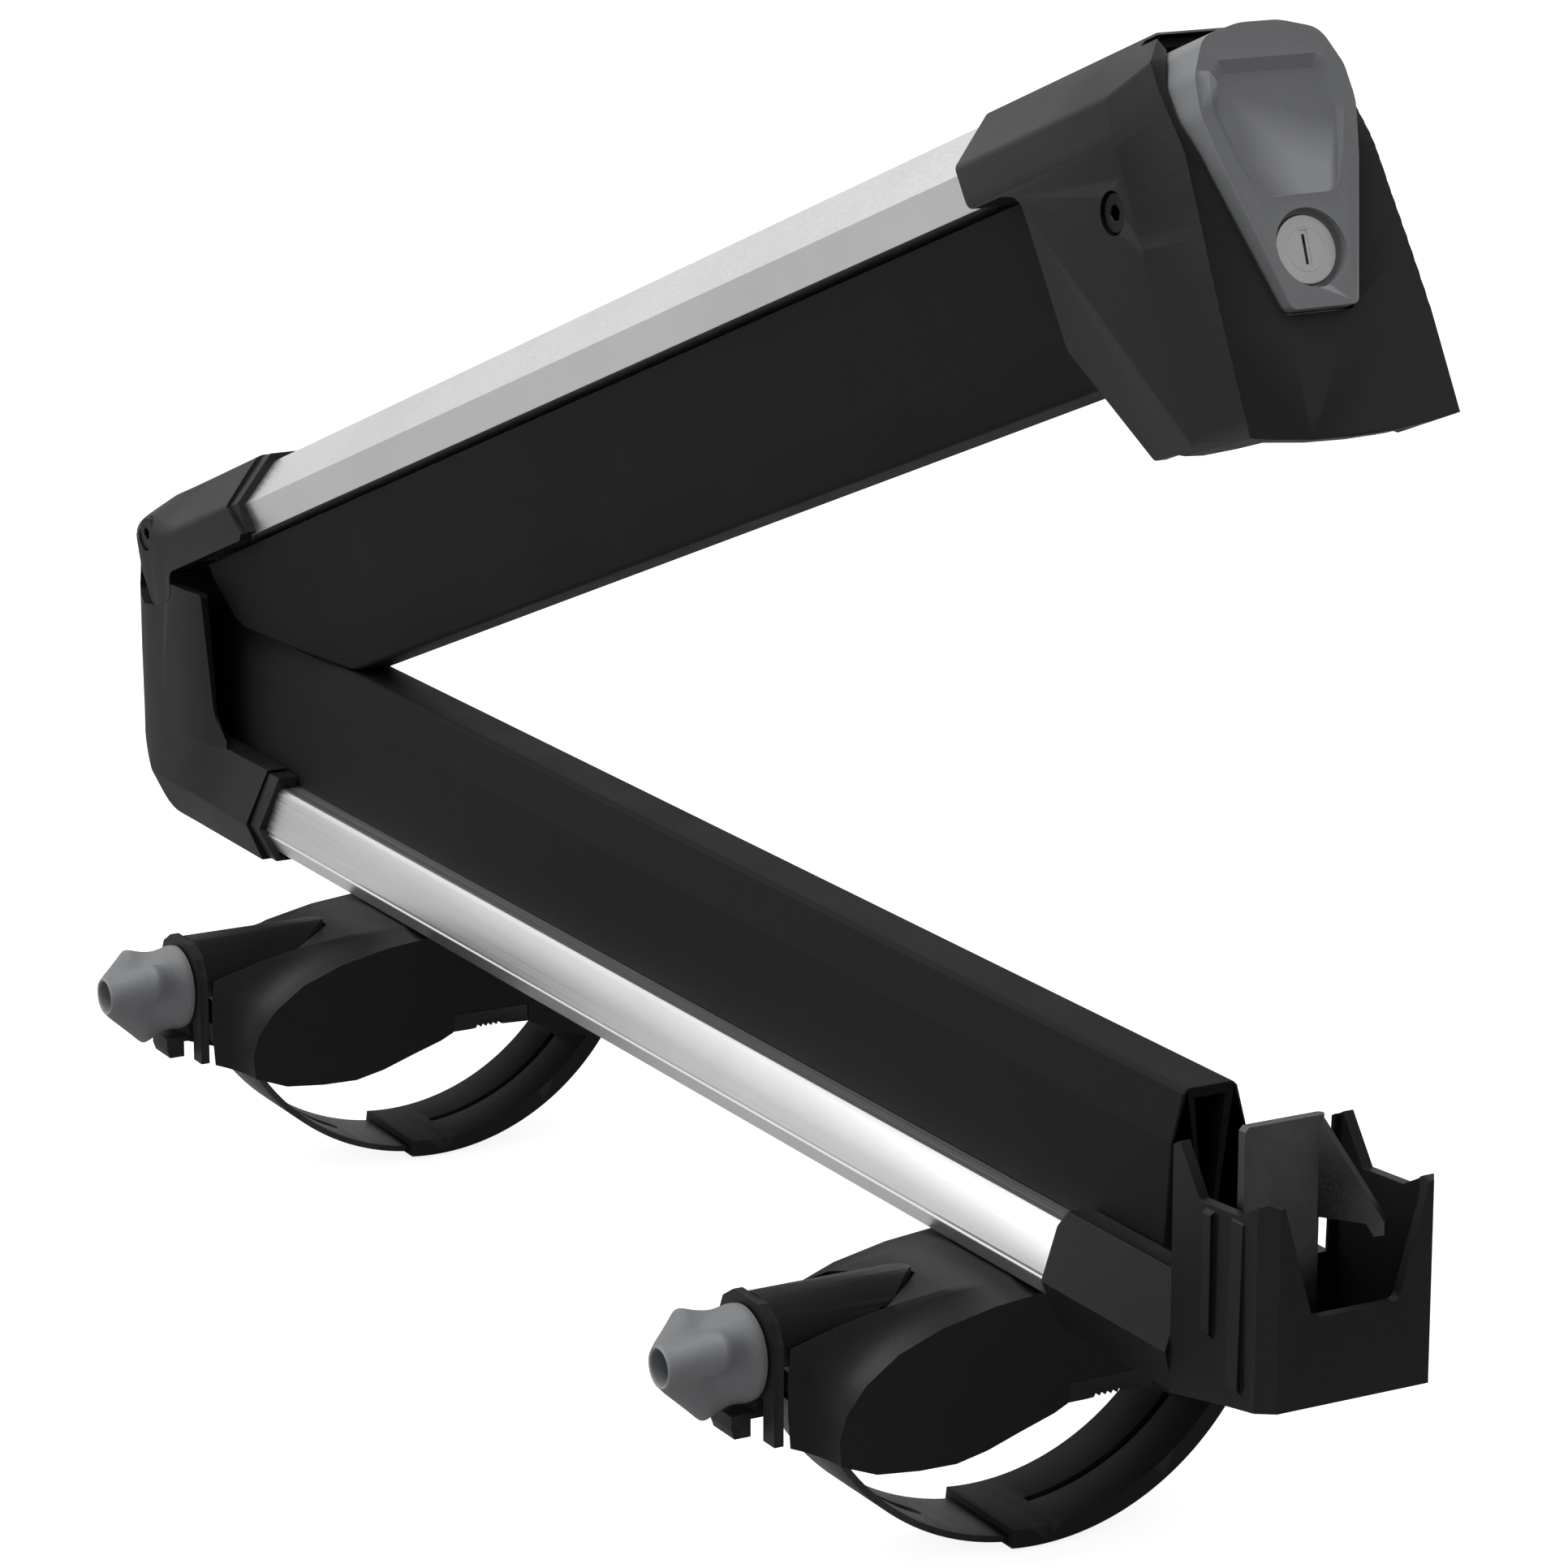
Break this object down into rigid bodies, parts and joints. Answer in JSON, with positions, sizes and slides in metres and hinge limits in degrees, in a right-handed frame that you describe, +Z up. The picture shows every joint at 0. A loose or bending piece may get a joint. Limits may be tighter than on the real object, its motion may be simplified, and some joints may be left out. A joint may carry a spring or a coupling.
{
  "type": "roof ski rack",
  "caption": "Hinged pair of rubber-faced aluminium rails that clamps skis across a roof load bar, with a press latch, a lock and sliding strap feet.",
  "frame": {"origin": "on top of the load bar, midway between the two feet, in the rails' middle plane", "axes": "+X along the rails towards the latch, +Y across them away from the knobs, +Z up"},
  "size_m": [0.613, 0.157, 0.3592],
  "materials": {
    "rail_aluminium": "clear anodised, fine extrusion lines",
    "black_plastic": "moulded glass-filled nylon, fine texture",
    "grey_plastic": "mid grey moulded, speckled grain",
    "black_rubber": "matte, smooth extruded",
    "steel": "zinc plated",
    "dark_steel": "dark phosphated sheet",
    "lock_metal": "satin plated lock face"
  },
  "bodies": {
    "base": {"lower_rail": "rail_aluminium", "lower_rubber": "black_rubber", "hinge_bracket": "black_plastic", "hinge_bracket_trim": "black_plastic", "catch_housing": "black_plastic", "strike_plate": "dark_steel", "strike_screws": "steel", "rail_screws": "steel", "rail_nut_strips": "steel"},
    "arm": {"upper_rail": "rail_aluminium", "upper_rubber": "black_rubber", "hinge_cap": "black_plastic", "hinge_cap_trim": "black_plastic", "hinge_pin": "steel", "cap_bolt": "steel", "latch_housing": "black_plastic", "latch_cross_bolt": "steel", "button_pin": "steel"},
    "button": {"release_button": "grey_plastic", "lock_barrel": "lock_metal"},
    "lock": {"lock_plug": "lock_metal"},
    "pawl": {"latch_pawl": "dark_steel", "pawl_spring": "steel"},
    "near_foot": {"foot_body_near": "black_plastic", "saddle_pad_near": "black_rubber", "rail_bolt_near": "steel", "rail_bolt_nut_near": "steel", "screw_cover_near": "black_plastic", "strap_pin_near": "steel"},
    "near_knob": {"knob_near": "grey_plastic", "clamp_screw_near": "steel"},
    "near_carriage": {"strap_carriage_near": "steel"},
    "near_strap": {"strap_band_near": "steel", "strap_sleeve_near": "black_rubber"},
    "far_foot": {"foot_body_far": "black_plastic", "saddle_pad_far": "black_rubber", "rail_bolt_far": "steel", "rail_bolt_nut_far": "steel", "screw_cover_far": "black_plastic", "strap_pin_far": "steel"},
    "far_knob": {"knob_far": "grey_plastic", "clamp_screw_far": "steel"},
    "far_carriage": {"strap_carriage_far": "steel"},
    "far_strap": {"strap_band_far": "steel", "strap_sleeve_far": "black_rubber"}
  },
  "joints": [
    {"name": "arm_hinge", "type": "hinge", "parent": "base", "child": "arm", "pos_m": [-0.304, 0, 0.094], "axis": [0, -1, 0], "range_deg": [-17.34, 32], "deforming": ["upper_rubber"]},
    {"name": "button_press", "type": "hinge", "parent": "arm", "child": "button", "pos_m": [0.25373, 0, 0.26178], "axis": [0, -1, 0], "range_deg": [0, 5], "stiffness_Nm_per_rad": 1.2, "springref_deg": -8.59},
    {"name": "pawl_swing", "type": "hinge", "parent": "arm", "child": "pawl", "pos_m": [0.2258, 0, 0.28018], "axis": [0, -1, 0], "range_deg": [-6.5, 0]},
    {"name": "lock_turn", "type": "hinge", "parent": "button", "child": "lock", "pos_m": [0.25447, 0, 0.27393], "axis": [0.9352, 0, 0.3541], "range_deg": [0, 90]},
    {"name": "near_foot_slide", "type": "slide", "parent": "base", "child": "near_foot", "axis": [1, 0, 0], "range_m": [-0.1, 0.008]},
    {"name": "near_knob_turn", "type": "hinge", "parent": "near_foot", "child": "near_knob", "pos_m": [0.161, -0.08, 0.0155], "axis": [0, 1, 0], "range_deg": [-1500, 1500]},
    {"name": "near_carriage_slide", "type": "slide", "parent": "near_foot", "child": "near_carriage", "axis": [0, -1, 0], "range_m": [-0.006, 0.006]},
    {"name": "near_strap_swing", "type": "hinge", "parent": "near_foot", "child": "near_strap", "pos_m": [0.161, 0.0481, 0.0142], "axis": [-1, 0, 0], "range_deg": [-3.3, 3.3]},
    {"name": "far_foot_slide", "type": "slide", "parent": "base", "child": "far_foot", "axis": [1, 0, 0], "range_m": [-0.039, 0.1]},
    {"name": "far_knob_turn", "type": "hinge", "parent": "far_foot", "child": "far_knob", "pos_m": [-0.161, -0.08, 0.0155], "axis": [0, 1, 0], "range_deg": [-1500, 1500]},
    {"name": "far_carriage_slide", "type": "slide", "parent": "far_foot", "child": "far_carriage", "axis": [0, -1, 0], "range_m": [-0.006, 0.006]},
    {"name": "far_strap_swing", "type": "hinge", "parent": "far_foot", "child": "far_strap", "pos_m": [-0.161, 0.0481, 0.0142], "axis": [-1, 0, 0], "range_deg": [-3.3, 3.3]}
  ],
  "couplings": [
    {"joint": "pawl_swing", "follows": "button_press", "ratio": -1.3},
    {"joint": "near_knob_turn", "follows": "near_carriage_slide", "rad_per_m": 4188.8},
    {"joint": "near_strap_swing", "follows": "near_carriage_slide", "rad_per_m": 8.7266},
    {"joint": "far_knob_turn", "follows": "far_carriage_slide", "rad_per_m": 4188.8},
    {"joint": "far_strap_swing", "follows": "far_carriage_slide", "rad_per_m": 8.7266}
  ]
}
